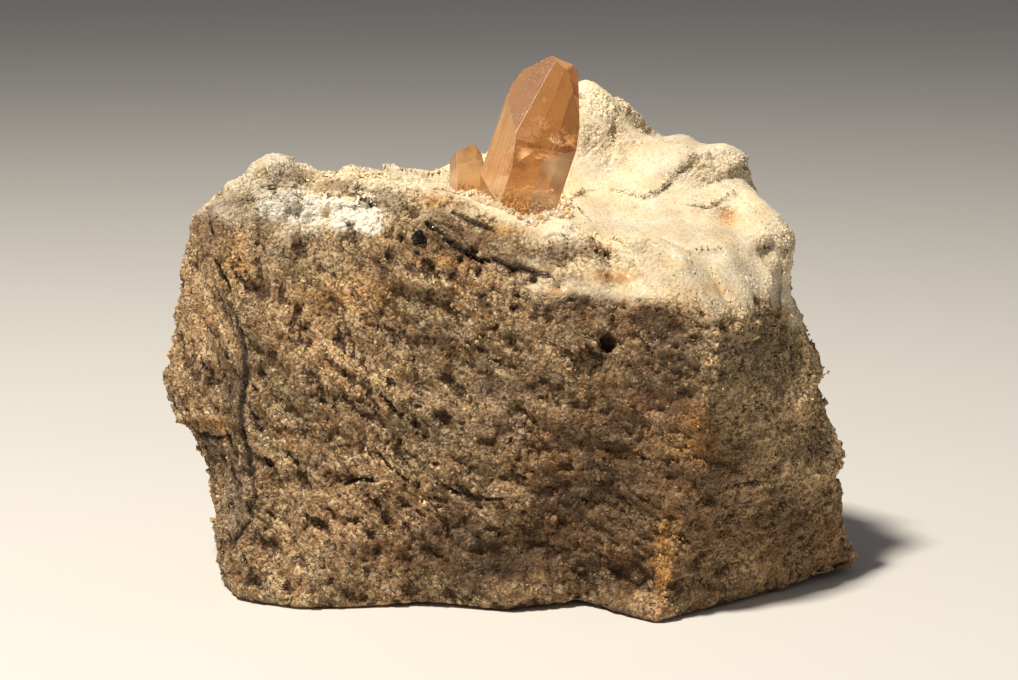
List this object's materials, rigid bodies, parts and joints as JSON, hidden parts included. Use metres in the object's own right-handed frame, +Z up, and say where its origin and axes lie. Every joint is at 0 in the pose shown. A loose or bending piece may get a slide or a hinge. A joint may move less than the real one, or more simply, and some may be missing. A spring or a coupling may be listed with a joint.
{
  "type": "topaz crystal on rhyolite matrix",
  "caption": "Sherry-coloured topaz prisms standing on a broken block of pale tan, sugary rhyolite, with a black metallic grain in its front face.",
  "frame": {"origin": "under the middle of the block, on the surface that it stands on", "axes": "+X to the right along the block's long front face, +Y away from that face, +Z up"},
  "size_m": [0.0912, 0.0575, 0.0686],
  "materials": {
    "rhyolite": "broken, sugary, pale tan to cream, with ochre stains",
    "topaz": "clear to cloudy sherry brown, bright crystal faces, some of them etched",
    "black_mineral": "black, metallic lustre"
  },
  "bodies": {
    "root": {"rhyolite_matrix": "rhyolite", "topaz_crystal": "topaz", "small_topaz_crystal": "topaz", "black_mineral_grain": "black_mineral"}
  },
  "joints": []
}
